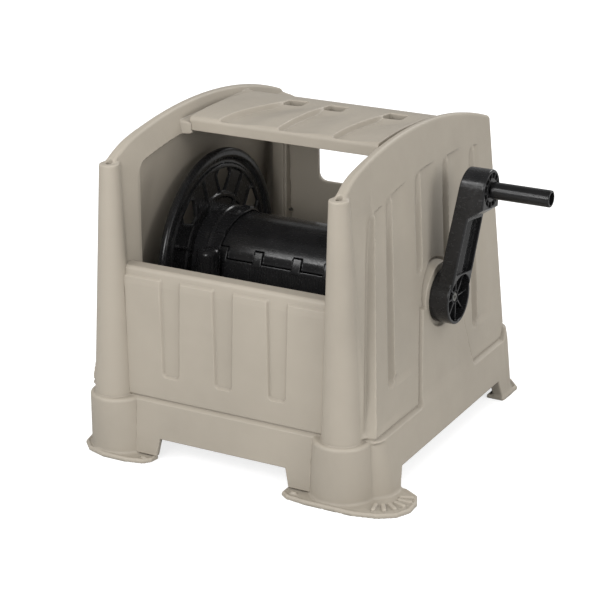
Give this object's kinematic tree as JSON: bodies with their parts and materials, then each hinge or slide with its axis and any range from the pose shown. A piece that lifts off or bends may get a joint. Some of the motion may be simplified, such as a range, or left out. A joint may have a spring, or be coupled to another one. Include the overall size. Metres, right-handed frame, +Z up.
{
  "type": "hose reel box",
  "caption": "Open-front resin box that holds a crank-wound garden hose reel on a through axle, with a step pedal at one foot.",
  "frame": {"origin": "on the floor, in the middle of the area that the whole box covers, crank included", "axes": "+X along the axle towards the crank, -Y to the open front, +Z up"},
  "size_m": [0.667, 0.561, 0.4915],
  "materials": {
    "taupe_resin": "satin, finely textured moulding",
    "black_resin": "semi-gloss moulding",
    "grip_plastic": "semi-gloss moulding",
    "white_acetal": "smooth",
    "zinc_steel": "zinc plated",
    "seal_rubber": "smooth"
  },
  "bodies": {
    "cabinet": {"left_side_panel": "taupe_resin", "right_side_panel": "taupe_resin", "front_panel": "taupe_resin", "rear_panel": "taupe_resin", "top_panel": "taupe_resin", "panel_screws": "zinc_steel", "left_bearing_bush": "white_acetal", "right_bearing_bush": "white_acetal", "left_thrust_washer": "white_acetal", "right_thrust_washer": "white_acetal"},
    "reel": {"left_reel_flange": "black_resin", "right_reel_flange": "black_resin", "drum_shell_upper": "black_resin", "drum_shell_lower": "black_resin", "drum_collar": "black_resin", "out_tube": "black_resin", "crank_arm": "black_resin", "crank_screw": "zinc_steel", "crank_screw_washer": "zinc_steel", "grip_pin": "black_resin"},
    "grip": {"crank_grip": "grip_plastic"},
    "inlet": {"in_tube": "black_resin", "in_tube_o_rings": "seal_rubber", "inlet_washer": "seal_rubber"},
    "coupling": {"inlet_coupling_nut": "black_resin"}
  },
  "joints": [
    {"name": "reel_spin", "type": "hinge", "parent": "cabinet", "child": "reel", "pos_m": [-0.0485, 0.0125, 0.235], "axis": [1, 0, 0], "continuous": true},
    {"name": "grip_spin", "type": "hinge", "parent": "reel", "child": "grip", "pos_m": [0.2885, 0.03445, 0.39954], "axis": [1, 0, 0], "continuous": true},
    {"name": "inlet_swivel", "type": "hinge", "parent": "cabinet", "child": "inlet", "pos_m": [-0.3145, 0.0125, 0.235], "axis": [1, 0, 0], "continuous": true},
    {"name": "coupling_spin", "type": "hinge", "parent": "inlet", "child": "coupling", "pos_m": [-0.3145, 0.0125, 0.184], "axis": [0, 0, 1], "continuous": true}
  ]
}
